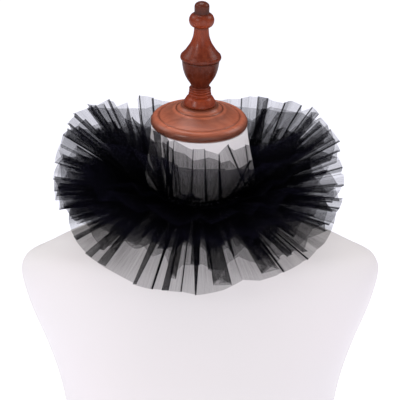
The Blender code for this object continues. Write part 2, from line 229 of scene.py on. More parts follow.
# Listed folds, in those spans and elsewhere: the azimuth where each leaves the root and where it
# ends, the cloth doubled back at both, how far it stands off its ply, and how far it runs past the free edge.
PLACED_COLUMNS = ("root", "edge", "root_back", "edge_back", "offset", "end")
PLACED_FOLDS = {
    "tulle_1_upper": (
        (-169, -171, 1.5, 0.8, -2, -7), (-155, -164, 1.5, 0.8, 2, -8), (-143, -157, 1, 0.6, -1, -6),
        (-131, -149.5, 3, 2, 1, -3), (-121, -145.5, 0, 0, 0.5, 0), (-112, -141.5, 1.6, 0.8, 0.5, 1),
        (-108, -136, 0, 0, -2, -10), (-105, -128, 1, 0.7, 1, -8), (-101, -117, 3, 3.5, 2, -1),
        (-95, -109.5, 2, 1, -3, -3), (-90, -104, 1.5, 0.8, 3, -4), (-85, -97, 4, 8, -2, 1),
        (-80, -87, 1.5, 0.8, 3, -2), (-75, -78, 1.5, 0.8, -2, 1), (-40, -23.5, 7, 9, 2, -3),
        (-37.7, -19, 1.2, 0.8, 3.5, 2), (-33, -15.5, 3, 2, -2.5, 1), (-29.7, -12.7, 4.5, 0.6, 1.5, 1.5),
        (-8.5, -3.2, 1.6, 0.9, 0.5, 0), (5.7, 2.2, 2.6, 0.6, -0.5, 2), (19.8, 10, 4, 0.8, 0.5, -11),
        (52.5, 13, 4, 1.5, -1.5, 5.5), (55, 17, 0, 0, 0, -4), (60, 22, 1.6, 0.6, 1.5, 3),
        (62, 34, 0, 0, -1, -6), (86, 86, 2, 5, -2, 1), (91, 92, 2, 0.8, 2.5, 1), (93, 97, 1.5, 0.8, -2, 1),
        (95, 101.5, 0, 0, 1, -9), (97, 106.5, 2, 0.7, -1, -2), (100, 115, 0, 0, 1.5, 0),
        (103, 124, 3, 0.8, -1, 0), (106, 132.5, 1.5, 0.8, 3, 0), (113, 141, 12, 14, -3, 4.5),
        (126, 148, 2, 0.8, 3, 3), (138, 155, 2, 0.8, -3, 2), (149, 161, 1.5, 0.6, 3, -2),
    ),
    "tulle_1_lower": (
        (-98, -103, 6, 16, -2, 9), (-88, -89, 0, 0, 3, 0), (-79, -80, 3, 4, -2, 1),
        (-70, -70, 1.4, 0.8, 3, 0), (-39, -34, 2, 1, 3, -2), (-35, -26, 8, 10, -2, 1),
        (-29, -18, 2, 2.6, 2, 7), (-22, -12.5, 0.8, 0.8, -1.5, 10), (-12, -7, 0, 0, 1, 10),
        (-4.5, -3, 0, 0, -1, 6), (5, 4, 0, 0, 1, 10), (10, 9.7, 1, 0.8, -1, 7), (16, 14, 0, 0, 1, 10),
        (24, 19, 0, 0, -1, -2), (33, 27, 1, 1, 2, 1), (38, 35, 5, 7, -2, 0),
    ),
    "tulle_2_upper": (
        (-117, -118, 7, 14, 3, 3), (-109, -109.5, 5, 9, -2, 7), (-102, -103, 1.4, 0.8, 3, 1),
        (-94, -95, 1.4, 0.8, -2, 0), (-85, -86, 0, 0, 3, 0), (-77, -77, 2.5, 3, -2, 0),
        (-69, -69, 1.4, 0.8, 3, 1), (-39, -36, 3, 1.6, 2, 0), (-36, -29, 7, 10, -1, -2),
        (-27, -16, 3, 8, 1, 6), (-18, -10, 1, 0.7, -1, 6), (-9, -6, 0, 0, 1, 5), (-1, 0, 0, 0, -1, 9),
        (6, 5, 0, 0, 1, 6), (13, 11, 1.6, 0.6, -1, 9), (20, 16, 0, 0, 1, 6), (27, 23, 3, 4, -1, 1),
        (35, 31, 2, 1, 2, 0), (40, 38, 5, 8, -2, 0), (75, 74, 8, 15, -1.5, 0),
    ),
    "tulle_2_lower": (
        (-90, -93, 2.5, 1.4, 8, 0), (-75, -78, 1.5, 1.2, -7, 3), (-12, -11, 0, 0, 0, 0),
        (-9.5, -9.8, 3, 3.5, 10, 0), (-5, -5, 4, 6, 15, 1), (-1, -0.2, 3, 3.5, 10, 0),
        (2, 1.4, 0, 0, -1, 0), (70, 70, 6, 12, 2, 0), (82, 85.5, 8, 16, -2, 1), (136, 136, 4, 9, 5, 2),
    ),
    "tulle_3_upper": (
        (-84, -88, 3, 1.4, 7, 0), (-70, -73, 2, 1, -3, 2), (66, 66, 1.4, 0.8, 2, 0), (74, 74, 0, 0, -3, 0),
        (82, 82, 1.4, 0.8, 2, -1), (89, 89, 0, 0, -3, 0), (132, 133, 4, 8, -5, 2),
    ),
    "tulle_3_lower": (
        (54, 54, 0, 0, 3, 2), (62, 62, 1.4, 0.8, -3, 0), (69, 70, 0, 0, 4, -3), (77, 78, 1.4, 0.8, -4, 2),
        (85, 86, 0, 0, 3, 0),
    ),
    "tulle_4_upper": (
        (59, 59, 1.2, 0.8, -2, 5), (66, 66, 1.5, 0.8, 3, 5), (73, 74, 3, 3, -2, 2), (77, 79, 3, 0.8, 4, 1),
        (81, 82, 1.5, 0.8, 3, -2), (89, 90, 1.5, 0.8, -2, 0), (97, 97, 3, 2, 2, 0),
    ),
    "tulle_4_lower": (
        (54, 54, 1.4, 0.8, -4, 2), (62, 63, 0, 0, 3, -3), (70, 71, 1.4, 0.8, -3, 2), (78, 78, 0, 0, 4, 0),
        (85, 85, 1.4, 0.8, -3, 2),
    ),
    "tulle_5_upper": (
        (64, 64, 0, 0, 2, 0), (72, 72, 1.4, 0.8, -3, 0), (81, 81, 0, 0, 2, 0), (90, 90, 1.4, 0.8, -3, 0),
        (99, 99, 0, 0, 2, 0), (106, 106, 1.4, 0.8, -3, 0),
    ),
    "tulle_5_lower": (
        (-64, -67, 1.5, 0.6, 2, 4), (27, 27, 9, 17, 3, 17), (38, 39, 6, 7, -3, 12), (58, 60.5, 5, 9, 3, -1),
        (65, 66, 1.5, 0.8, -3, 0), (72, 73, 3, 4, 2, 0), (80, 80, 1.5, 0.8, -3, -1),
        (87, 88, 1.2, 0.8, 2, 1), (95, 95, 1.5, 0.8, -3, 0), (102, 103, 1.5, 0.8, 2, 0),
    ),
    "tulle_6_upper": (
        (-60, -58, 0, 0, 2, 6), (-60, -49.5, 6, 10, -2, 13), (-46, -42.5, 0, 0, 2, -4),
        (-38, -37, 2, 0.8, -2, -9), (-32, -31, 0, 0, 2, -7), (-26, -26, 1, 0.8, -1.5, -1),
        (-21, -20, 0, 0, 1.5, -7), (-17, -16.5, 1.5, 0.8, -1, 4), (-12.5, -12.2, 4, 6.5, 1, 22),
        (-9.5, -9, 0, 0, -1, 4), (-3, -2.5, 6, 9, 1, 3), (1, 1.5, 0, 0, -1, 1), (4, 5, 3, 5, 1, 8),
        (8.2, 9.6, 9, 19, 2, 27), (13.5, 15, 0, 0, -1, -2), (19, 20, 1.6, 0.8, 1, -7),
        (24, 25, 0, 0, -1, 0), (30, 32, 12, 21, -2, 15), (37, 39, 3, 4, 1, 3), (43, 45, 0, 0, -1, -4),
        (49, 49.5, 6, 10, 2, 11), (56, 58, 0, 0, -2, -2), (65, 65, 8, 11, 2, 9), (74, 74, 0, 0, -2, 0),
        (82, 82, 1.4, 0.8, 2, 0), (91, 91, 0, 0, -2, 0), (99, 99, 1.4, 0.8, 2, 0),
    ),
    "tulle_6_lower": (
        (-65, -55, 4, 12, 1, 0), (-58, -46.5, 6, 12, 2, -1), (-40, -40, 0, 0, 1, 0),
        (-31, -29.5, 12, 5, -1, 2), (-22, -21.5, 4, 1.2, 1, 2), (-16, -16, 4, 8, -1, 0),
        (-8.3, -8.6, 1.2, 0.9, 1, 0), (-2.5, -2, 11, 1.4, -1, 1.5), (10, 10.5, 0, 0, 1, 0),
        (17, 19.5, 1.5, 0.7, 1, -6), (26, 27, 0, 0, -1, 0), (33, 35, 3, 0.6, 1, 1),
        (38, 38.5, 5, 0.6, 0, 0), (46, 47.5, 6, 0.6, 1, 1), (50, 51.5, 3, 0.6, -1, 1.5),
    ),
}
# No drawn fold comes nearer to a placed one than this.
PLACED_ROOM = 3.0
# Share of a placed fold's offset that it already has at its root.
PLACED_ROOT_SHARE = 0.4
# Where the top ply's free edge falls short: azimuth from the front, half width, and loss of reach. The
# steepness is that of its sides.
TOP_NOTCHES = ((-130.5, 8.0, 40.0),)
NOTCH_STEEPNESS = 5.0

# The other folds. Each kind has the least and most cloth doubled back at its root and at its free edge, and
# how often it comes up. Swings and pitches are drawn as shares of the ply's own.
KIND_COLUMNS = ("root_least", "root_most", "edge_least", "edge_most", "often")
FOLD_KINDS = (
    (0.0, 0.0, 0.0, 0.0, 8),
    (0.8, 2.0, 0.5, 1.1, 4),
    (3.0, 5.0, 5.0, 12.0, 2),
    (6.0, 10.0, 0.3, 1.2, 2),
)
SWING_SHARES = (0.4, 1.3)
PITCH_SHARES = (0.5, 0.7, 1.0, 1.3, 1.7)
PITCH_RADIUS = ROOT_RADIUS + 62.0
# No fold is drawn in this last stretch of the ring, in radians.
LAST_ROOM = 0.03
# How far a fold usually runs askew from root to free edge.
FOLD_SLANT = 3.0
# The least and most that a fold stands off the ply at its root.
ROOT_DEPTH = (1.0, 2.4)
# Half the room between the layers of a fold, at the root and at the free edge.
FOLD_GAP_ROOT = 0.2
FOLD_GAP_EDGE = 0.8
# Small gathers between two folds: how many, how high at the root, and how fast they fade towards the edge.
GATHERS = 4
GATHER_ROOT = 1.6
GATHER_FADE = 1.5
# Slow waves of the free edge: how many go round the ring, and how many degrees each lifts it. On a ply whose
# swings stay under FULL_WAVE_SWING they are smaller.
EDGE_WAVES = ((4, 0.8), (7, 0.9), (11, 0.9), (17, 0.6))
FULL_WAVE_SWING = 6.0

# ---------------------------------------------------------------- the net's look

# A metre of cloth is this many times a ply's usual reach.
REACHES_PER_METRE = 11.0
# Threads are this dense between the holes and this much less in the middle of one, as shares of the cover.
THREAD_COVER = 1.35
HOLE_DEPTH = 0.86
# The net is this much denser where it is gathered at the root.
ROOT_CROWDING = 0.45
# Uneven patches, drawn out from root to edge: how many to a metre, and how strong.
PATCH_SCALE = (600.0, 25.0, 1.0)
PATCH_STRENGTH = 0.9
# The net looks no denser than at this slant, and lets this share of the light pass that it would hold back.
LEAST_SQUARE_ON = 0.3
LIGHT_PASSED_ON = 0.85

# ---------------------------------------------------------------- the studio

# Area lights: places and sizes in metres, and power in watts.
LIGHT_COLUMNS = ("name", "place", "size", "power")
LIGHTS = (
    ("key", (-1.2, -1.6, 1.3), 0.4, 8.4),
    ("fill", (0.7, -2.2, 0.55), 1.2, 5.4),
    ("left side", (-1.1, 0.0, 1.5), 0.7, 4.0),
    ("right side", (1.1, 0.0, 1.5), 0.7, 5.0),
    ("top", (-0.1, 0.1, 2.4), 1.0, 13.0),
)
LIGHT_AIM = (0.0, 0.0, 0.45)
FLOOR_HALF_WIDTH = 300000.0
# Colour of the lit floor, and of what gloss mirrors of it.
GLOW_COLOUR = (1.0, 1.0, 1.2)
MIRRORED_GLOW = (0.2, 0.2, 0.2)
# Share of the room's light that gloss doesn't mirror.
MIRROR_LOSS = 0.8
# The most layers of net that a ray is followed through.
CLEAR_LAYERS = 64
FILM_WIDTH = 36.0


def table(columns, rows):
    """The rows as dictionaries keyed by the column names."""
    return [dict(zip(columns, row)) for row in rows]


def leaned(point, middle, lean):
    """A point given about an upright axis, leaned forward (to -Y) about X and set on its middle."""
    x, y, z = point
    a = radians(lean)
    return Vector((middle[0] + x, middle[1] + y * cos(a) - z * sin(a), middle[2] + y * sin(a) + z * cos(a)))


def smooth_between(values, share):
    """A value along a run of values at a share of the whole run, on a curve through each of them."""
    place = share * (len(values) - 1)
    i = min(int(place), len(values) - 2)
    t = place - i
    p1, p2 = values[i], values[i + 1]
    p0 = values[max(i - 1, 0)]
    p3 = values[min(i + 2, len(values) - 1)]
    square, cube = 2 * p0 - 5 * p1 + 4 * p2 - p3, 3 * p1 - p0 - 3 * p2 + p3
    return 0.5 * (2 * p1 + (p2 - p0) * t + square * t**2 + cube * t**3)


def round_the_ring(values, turn):
    """A smooth value round the ring: the values stand at equal steps, and the first is at the front."""
    count = len(values)
    place = turn % tau / tau * count
    start = int(place) - 1
    return smooth_between([values[(start + i) % count] for i in range(4)], (1.0 + place % 1.0) / 3.0)


def front_dip(turn, height):
    """How far a height on the ribbon is let down here: only near the front, and most at the top."""
    rise = (height + BAND_HALF_HEIGHT) / (2.0 * BAND_HALF_HEIGHT)
    return FRONT_DIP * max(0.0, cos(turn)) ** FRONT_DIP_POWER * rise


def new_object(name, bm, material):
    """The finished mesh, in metres, as an object at the origin."""
    for vert in bm.verts:
        vert.co *= MM
    mesh = bpy.data.meshes.new(name)
    bm.to_mesh(mesh)
    bm.free()
    mesh.materials.append(material)
    mesh.shade_smooth()
    obj = bpy.data.objects.new(name, mesh)
    bpy.context.scene.collection.objects.link(obj)
    return obj


def wrapped(rings, width=1.0):
    """A tube: a flat grid with a row for each ring of points, bent round and closed along its seam.

    Its UV map holds the cloth's own lengths in metres: along its last ring, and across the given width.
    """
    rows, columns = len(rings), len(rings[0])
    along = [0.0]
    for i in range(columns):
        along.append(along[-1] + (rings[-1][(i + 1) % columns] - rings[-1][i]).length * MM)
    bm = bmesh.new()
    bmesh.ops.create_grid(bm, x_segments=columns, y_segments=rows - 1, size=1.0)
    flat = bm.loops.layers.uv.new("Cloth")
    bm.verts.index_update()
    for face in bm.faces:
        for loop in face.loops:
            row, column = divmod(loop.vert.index, columns + 1)
            loop[flat].uv = (along[column], width * row / (rows - 1))
    for index, vert in enumerate(bm.verts):
        row, column = divmod(index, columns + 1)
        vert.co = rings[row][column % columns]
    bmesh.ops.remove_doubles(bm, verts=bm.verts, dist=SEAM_MERGE)
    return bm


# ---------------------------------------------------------------- materials


def node_material(name, finish):
    """A new material with its shader's plain sockets set, its node tree and its shader."""
    material = bpy.data.materials.new(name)
    material.use_nodes = True
    shader = material.node_tree.nodes["Principled BSDF"]
    for socket, value in finish.items():
        shader.inputs[socket].default_value = value
    return material, material.node_tree, shader


def math_node(tree, operation, *values):
    node = tree.nodes.new("ShaderNodeMath")
    node.operation = operation
    for socket, value in zip(node.inputs, values):
        if hasattr(value, "is_linked"):
            tree.links.new(value, socket)
        else:
            socket.default_value = value
    return node.outputs[0]


def mix_colours(tree, factor, first, second):
    """Two plain colours mixed by a factor that changes over the surface."""
    mix = tree.nodes.new("ShaderNodeMix")
    mix.data_type = "RGBA"
    mix.inputs["A"].default_value = (*first, 1.0)
    mix.inputs["B"].default_value = (*second, 1.0)
    tree.links.new(factor, mix.inputs["Factor"])
    return mix.outputs["Result"]


def add_noise(tree, place, scale, detail=2.0, distortion=0.0):
    """Soft uneven patches, read at a place. The larger the scale, the finer they are."""
    noise = tree.nodes.new("ShaderNodeTexNoise")
    noise.inputs["Scale"].default_value = scale
    noise.inputs["Detail"].default_value = detail
    noise.inputs["Distortion"].default_value = distortion
    tree.links.new(place, noise.inputs["Vector"])
    return noise.outputs["Fac"]


def add_bump(tree, shader, height, strength, distance):
    """Fine relief on the shader. The distance is in metres."""
    bump = tree.nodes.new("ShaderNodeBump")
    bump.inputs["Strength"].default_value = strength
    bump.inputs["Distance"].default_value = distance
    tree.links.new(height, bump.inputs["Height"])
    tree.links.new(bump.outputs[0], shader.inputs["Normal"])


def cloth_map(tree):
    """The cloth's own lengths in metres, along it and out from its root."""
    uv = tree.nodes.new("ShaderNodeUVMap")
    uv.uv_map = "Cloth"
    return uv.outputs[0]


def separated(tree, vector):
    split = tree.nodes.new("ShaderNodeSeparateXYZ")
    tree.links.new(vector, split.inputs[0])
    return split.outputs


def net_group():
    """How much of a small area the net's threads cover, seen square on, with uneven patches."""
    group = bpy.data.node_groups.new("Net cover", "ShaderNodeTree")
    for name in ("Cover", "Cell", "Patches"):
        group.interface.new_socket(name, in_out="INPUT", socket_type="NodeSocketFloat")
    group.interface.new_socket("Cover", in_out="OUTPUT", socket_type="NodeSocketFloat")
    given, out = group.nodes.new("NodeGroupInput"), group.nodes.new("NodeGroupOutput")
    uv = cloth_map(group)
    drawn = group.nodes.new("ShaderNodeMapping")
    drawn.inputs["Scale"].default_value = PATCH_SCALE
    group.links.new(uv, drawn.inputs["Vector"])
    patch = math_node(group, "SUBTRACT", add_noise(group, drawn.outputs[0], scale=1.0, detail=3.0), 0.5)
    patch = math_node(group, "ADD", 1.0, math_node(group, "MULTIPLY", patch, given.outputs["Patches"]))
    turns = math_node(group, "DIVIDE", tau, given.outputs["Cell"])
    place = separated(group, uv)
    across, along = (math_node(group, "MULTIPLY", place[i], turns) for i in range(2))
    waves = [math_node(group, "SINE", math_node(group, way, across, along)) for way in ("ADD", "SUBTRACT")]
    holes = math_node(group, "MULTIPLY", *(math_node(group, "ABSOLUTE", wave) for wave in waves))
    threads = math_node(group, "SUBTRACT", THREAD_COVER, math_node(group, "MULTIPLY", holes, HOLE_DEPTH))
    inner = math_node(group, "SUBTRACT", 1.0, math_node(group, "MULTIPLY", place[1], REACHES_PER_METRE))
    inner = math_node(group, "MAXIMUM", inner, 0.0)
    crowded = math_node(group, "ADD", 1.0, math_node(group, "MULTIPLY", inner, ROOT_CROWDING))
    cover = math_node(group, "MULTIPLY", math_node(group, "MULTIPLY", threads, patch), given.outputs["Cover"])
    group.links.new(math_node(group, "MULTIPLY", cover, crowded), out.inputs[0])
    return group


def tulle_material(name, settings, group, threads_cover):
    """Black net: see-through square on, denser on the slant or at a fold, with painted shade at the root."""
    material, tree, shader = node_material(name, {"Roughness": 0.6, "Specular IOR Level": 0.01})
    net = tree.nodes.new("ShaderNodeGroup")
    net.node_tree = group
    net.inputs["Cover"].default_value = threads_cover
    net.inputs["Cell"].default_value = settings.net_cell
    net.inputs["Patches"].default_value = PATCH_STRENGTH
    # Painted shade: from the threads' own colour at the free edge to near black deep in the gathers.
    reach = math_node(tree, "MULTIPLY", separated(tree, cloth_map(tree))[1], REACHES_PER_METRE)
    outer = math_node(tree, "POWER", reach, 3.0)
    painted_shade_tint = mix_colours(tree, outer, settings.gathered_shade_colour, settings.tulle_colour)
    tree.links.new(painted_shade_tint, shader.inputs["Base Color"])
    slant = tree.nodes.new("ShaderNodeLayerWeight")
    slant.inputs["Blend"].default_value = 0.5
    square_on = math_node(tree, "SUBTRACT", 1.0, slant.outputs["Facing"])
    square_on = math_node(tree, "MAXIMUM", square_on, LEAST_SQUARE_ON)
    clear = math_node(tree, "SUBTRACT", 1.0, net.outputs[0])
    seen = math_node(tree, "POWER", clear, math_node(tree, "DIVIDE", 1.0, square_on))
    # The threads pass much of the light that meets them on to what lies behind the net.
    ray = tree.nodes.new("ShaderNodeLightPath")
    lit = math_node(tree, "MAXIMUM", ray.outputs["Is Shadow Ray"], ray.outputs["Is Diffuse Ray"])
    dense = math_node(tree, "SUBTRACT", 1.0, math_node(tree, "MULTIPLY", lit, LIGHT_PASSED_ON))
    cover = math_node(tree, "MULTIPLY", math_node(tree, "SUBTRACT", 1.0, seen), dense)
    tree.links.new(cover, shader.inputs["Alpha"])
    return material


def ribbon_material(settings):
    """Dull black ribbon with fine ribs across it."""
    finish = {"Base Color": (*settings.ribbon_colour, 1.0), "Roughness": 0.55, "Specular IOR Level": 0.2}
    material, tree, shader = node_material("Neckband ribbon", finish)
    ribs = tree.nodes.new("ShaderNodeTexWave")
    ribs.bands_direction = "X"
    ribs.inputs["Scale"].default_value = 200.0
    tree.links.new(cloth_map(tree), ribs.inputs["Vector"])
    add_bump(tree, shader, ribs.outputs["Fac"], strength=1.0, distance=0.0003)
    return material


def cover_material(settings):
    """The form's smooth knitted cover: off-white, a little pink, with a fine even knit."""
    finish = {"Roughness": 0.75, "Specular IOR Level": 0.25, "Sheen Weight": 0.15}
    material, tree, shader = node_material("Form cover", finish)
    place = tree.nodes.new("ShaderNodeTexCoord").outputs["Object"]
    patches, knit = add_noise(tree, place, scale=7.0), add_noise(tree, place, scale=900.0)
    colour = mix_colours(tree, patches, settings.cover_colour, settings.cover_blush)
    tree.links.new(colour, shader.inputs["Base Color"])
    add_bump(tree, shader, knit, strength=0.25, distance=0.0002)
    return material


def turned_place(tree):
    """Places on the turned wood, about its own leaning axis."""
    upright = tree.nodes.new("ShaderNodeMapping")
    upright.vector_type = "TEXTURE"
    upright.inputs["Location"].default_value = [c * MM for c in CAP_MIDDLE]
    upright.inputs["Rotation"].default_value = (radians(CAP_LEAN), radians(CAP_ROLL), 0.0)
    tree.links.new(tree.nodes.new("ShaderNodeTexCoord").outputs["Object"], upright.inputs["Vector"])
    return upright.outputs[0]


def painted_shading_colour(tree, turned, painted_shading, by_radius):
    """The grey of the painted shade and highlights at a radius from the axis, or at a height along it."""
    whole = painted_shading[-1][0]
    x, y, measure = separated(tree, turned)
    if by_radius:
        squares = [math_node(tree, "MULTIPLY", out, out) for out in (x, y)]
        measure = math_node(tree, "SQRT", math_node(tree, "ADD", *squares))
    depth = tree.nodes.new("ShaderNodeValToRGB")
    for i, (at, shade) in enumerate(painted_shading):
        stop = depth.color_ramp.elements[i] if i < 2 else depth.color_ramp.elements.new(at / whole)
        stop.position = at / whole
        stop.color = (shade, shade, shade, 1.0)
    tree.links.new(math_node(tree, "DIVIDE", measure, whole * MM), depth.inputs["Fac"])
    return depth.outputs["Color"]


def wood_material(name, light, dark, painted_shading, by_radius, grain_scale, gloss):
    """Varnished red-brown hardwood: long soft grain, and painted shade and highlights along the turning."""
    material, tree, shader = node_material(name, {"Specular IOR Level": gloss, "IOR": 1.40})
    turned = turned_place(tree)
    stretched = tree.nodes.new("ShaderNodeMapping")
    stretched.inputs["Scale"].default_value = grain_scale
    tree.links.new(turned, stretched.inputs["Vector"])
    grain = add_noise(tree, stretched.outputs[0], scale=60.0, detail=6.0, distortion=0.6)
    ramp = tree.nodes.new("ShaderNodeValToRGB")
    for stop, (position, colour) in zip(ramp.color_ramp.elements, ((0.32, dark), (0.68, light))):
        stop.position = position
        stop.color = (*colour, 1.0)
    tree.links.new(grain, ramp.inputs["Fac"])
    mix = tree.nodes.new("ShaderNodeMix")
    mix.data_type = "RGBA"
    mix.blend_type = "MULTIPLY"
    mix.inputs["Factor"].default_value = 1.0
    tree.links.new(ramp.outputs["Color"], mix.inputs["A"])
    # The painted shade and highlights of the turning darken the grain's colour or leave it as it is.
    tree.links.new(painted_shading_colour(tree, turned, painted_shading, by_radius), mix.inputs["B"])
    tree.links.new(mix.outputs["Result"], shader.inputs["Base Color"])
    least, spread = WOOD_ROUGHNESS
    rough = math_node(tree, "ADD", math_node(tree, "MULTIPLY", grain, spread), least)
    tree.links.new(rough, shader.inputs["Roughness"])
    add_bump(tree, shader, grain, strength=0.03, distance=0.0004)
    return material


# ---------------------------------------------------------------- shapes


def form_point(ring, turn):
    """A point of the form's rounded oval. Near its top the neck takes up the cap's roll and side shift."""
    share = min(max((ring["height"] - NECK_TURN[0]) / (NECK_TURN[1] - NECK_TURN[0]), 0.0), 1.0)
    roll = radians(CAP_ROLL) * share
    c, s = cos(turn), sin(turn)
    reach = ring["back"] if s > 0 else ring["front"]
    scale = (abs(c) ** ring["power"] + abs(s) ** ring["power"]) ** (-1.0 / ring["power"])
    across = ring["half_width"] * c * scale
    rolled = (across * cos(roll), reach * s * scale, -across * sin(roll))
    return leaned(rolled, (NECK_SHIFT * share, ring["middle"], ring["height"]), ring["tilt"])


def form_mesh():
    """The form's body and neck as one closed skin through its rings, with smooth rings between them."""
    rings = table(FORM_COLUMNS, FORM_RINGS)
    count = (len(rings) - 1) * FORM_STEPS_PER_RING
    skin = []
    for i in range(count + 1):
        ring = {key: smooth_between([row[key] for row in rings], i / count) for key in FORM_COLUMNS}
        skin.append([form_point(ring, tau * j / FORM_SEGMENTS) for j in range(FORM_SEGMENTS)])
    bm = wrapped(skin)
    bmesh.ops.holes_fill(bm, edges=[edge for edge in bm.edges if edge.is_boundary], sides=0)
    bmesh.ops.recalc_face_normals(bm, faces=bm.faces)
    return bm


def smooth_profile(profile):
    """The profile with smooth points added between its corners."""
    points, run = [], [profile[0]]
    for row in profile[1:]:
        run.append(row)
        if row[2] == "c" or row is profile[-1]:
            steps = (len(run) - 1) * PROFILE_STEPS if len(run) > 2 else 1
            radii, heights = [r[0] for r in run], [r[1] for r in run]
            for i in range(steps):
                points.append((smooth_between(radii, i / steps), smooth_between(heights, i / steps)))
            run = [row]
    points.append(profile[-1][:2])
    return points


def turned_mesh(profile):
    """A turned solid: its smoothed profile is spun round the cap's leaning axis."""
    bm = bmesh.new()
    chain = [bm.verts.new((max(radius, 0.0), 0.0, height)) for radius, height in smooth_profile(profile)]
    edges = [bm.edges.new(pair) for pair in zip(chain, chain[1:])]
    bmesh.ops.spin(
        bm, geom=chain + edges, cent=(0.0, 0.0, 0.0), axis=(0.0, 0.0, 1.0), angle=tau,
        steps=TURNED_SEGMENTS, use_merge=True,
    )
    bmesh.ops.remove_doubles(bm, verts=bm.verts, dist=AXIS_MERGE)
    bmesh.ops.recalc_face_normals(bm, faces=bm.faces)
    lean = Matrix.Rotation(radians(CAP_LEAN), 4, "X") @ Matrix.Rotation(radians(CAP_ROLL), 4, "Y")
    bmesh.ops.transform(bm, matrix=Matrix.Translation(CAP_MIDDLE) @ lean, verts=bm.verts)
    return bm


def band_rings():
    """The ribbon's rings of points, from its lower edge to its upper one."""
    turns = [tau * i / BAND_SEGMENTS for i in range(BAND_SEGMENTS)]
    rings = []
    for row in range(BAND_ROWS):
        height = BAND_HALF_HEIGHT * (2.0 * row / (BAND_ROWS - 1) - 1.0)
        flat = [(BAND_RADIUS * sin(t), -BAND_RADIUS * cos(t), height - front_dip(t, height)) for t in turns]
        rings.append([leaned(point, RING_MIDDLE, RING_LEAN) for point in flat])
    return rings


def drawn_folds(ply):
    """The ply's uneven folds all round the ring, settled by its seed."""
    chance = Random(ply["seed"])
    kinds = table(KIND_COLUMNS, FOLD_KINDS)
    folds, turn, side = [], 0.0, 1.0
    while turn < tau - LAST_ROOM:
        kind = chance.choices(kinds, [kind["often"] for kind in kinds])[0]
        folds.append({
            "edge": turn, "side": side,
            "offset": side * round_the_ring(ply["swings"], turn) * chance.uniform(*SWING_SHARES),
            "root_back": chance.uniform(kind["root_least"], kind["root_most"]),
            "edge_back": chance.uniform(kind["edge_least"], kind["edge_most"]),
            "root_offset": side * chance.uniform(*ROOT_DEPTH), "end": chance.gauss(0.0, ply["ragged"]),
            "slant": radians(chance.gauss(0.0, FOLD_SLANT)),
        })
        side = -side
        turn += round_the_ring(ply["pitches"], turn) * chance.choice(PITCH_SHARES) / PITCH_RADIUS
    for fold in folds:
        fold["edge"] *= tau / turn
        fold["root"] = fold["edge"] - fold["slant"] + ply["spread"] * sin(2.0 * fold["edge"])
    return folds


def placed_fold(row):
    """A listed fold, with its root on the same turn round the ring as its free edge."""
    edge, root = radians(row["edge"]) % tau, radians(row["root"])
    root += round((edge - root) / tau) * tau
    return row | {
        "edge": edge, "root": root, "side": 1.0 if row["offset"] > 0.0 else -1.0,
        "root_offset": PLACED_ROOT_SHARE * row["offset"],
    }


def ply_folds(ply):
    """The ply's fold lines in order round the ring: the placed ones, and the drawn ones where there is room.

    Each has its azimuth and its offset from the ply's surface at the root and at the free edge, the width of
    cloth doubled back at both, and how far it runs past the free edge.
    """
    placed = [placed_fold(row) for row in table(PLACED_COLUMNS, PLACED_FOLDS[ply["name"]])]
    folds = drawn_folds(ply)
    for begin, end in PLACED_SPANS[ply["name"]]:
        folds = [fold for fold in folds if (fold["edge"] - radians(begin)) % tau > radians(end - begin)]
    for near in placed:
        folds = [fold for fold in folds if abs(fold["edge"] - near["edge"]) > radians(PLACED_ROOM)]
    return sorted(folds + placed, key=lambda fold: fold["edge"])


def fold_sides(fold):
    """The columns where the cloth comes to a fold and leaves it: one and the same at a plain fold."""
    line = {key: fold[key] for key in ("root", "edge", "offset", "root_offset", "end")}
    line |= {"root_shift": 0.0, "edge_shift": 0.0, "layer": 0.0, "gather": 0.0}
    if fold["edge_back"] <= 0.0:
        return line, line
    turned = {"root_shift": fold["root_back"] / 2.0, "edge_shift": fold["edge_back"] / 2.0}
    turned["layer"] = -fold["side"]
    return line | turned, line | {key: -value for key, value in turned.items()}


def ply_columns(folds, soft):
    """The ply's columns in order: each fold's line or its two turns, then the gathers up to the next fold."""
    sides = [fold_sides(fold) for fold in folds]
    first = sides[0][0]
    last = first | {"root": first["root"] + tau, "edge": first["edge"] + tau}
    columns = []
    for (enter, leave), after in zip(sides, [side[0] for side in sides[1:]] + [last]):
        if enter is not leave:
            columns.append(enter)
        columns.append(leave)
        for k in range(1, GATHERS + 1):
            share = k / (GATHERS + 1)
            column = {key: leave[key] * (1.0 - share) + after[key] * share for key in leave}
            if soft:
                turned = share * share * (3.0 - 2.0 * share)
                column["offset"] = leave["offset"] * (1.0 - turned) + after["offset"] * turned
            column["gather"] = 1.0 if k % 2 else -1.0
            columns.append(column)
    return columns


def notch_loss(turn):
    """How far the top ply's free edge falls short at this azimuth."""
    loss = 0.0
    for azimuth, half_width, depth in TOP_NOTCHES:
        away = abs((turn - radians(azimuth) + pi) % tau - pi) / radians(half_width)
        loss += depth * max(0.0, min(1.0, NOTCH_STEEPNESS - NOTCH_STEEPNESS * away))
    return loss


def column_root(ply, column):
    """Where a column leaves the root, and how its gather stands off there."""
    turn = column["root"]
    angle = radians(round_the_ring(ply["angles"], turn))
    lift = column["root_offset"] + column["layer"] * FOLD_GAP_ROOT
    height = ply["root_height"] - front_dip(turn, ply["root_height"]) + lift * cos(angle)
    turn += column["root_shift"] / ROOT_RADIUS
    away = ROOT_RADIUS - lift * sin(angle)
    off = Vector((-sin(angle) * sin(turn), sin(angle) * cos(turn), cos(angle)))
    return Vector((away * sin(turn), -away * cos(turn), height)), off * column["gather"] * GATHER_ROOT


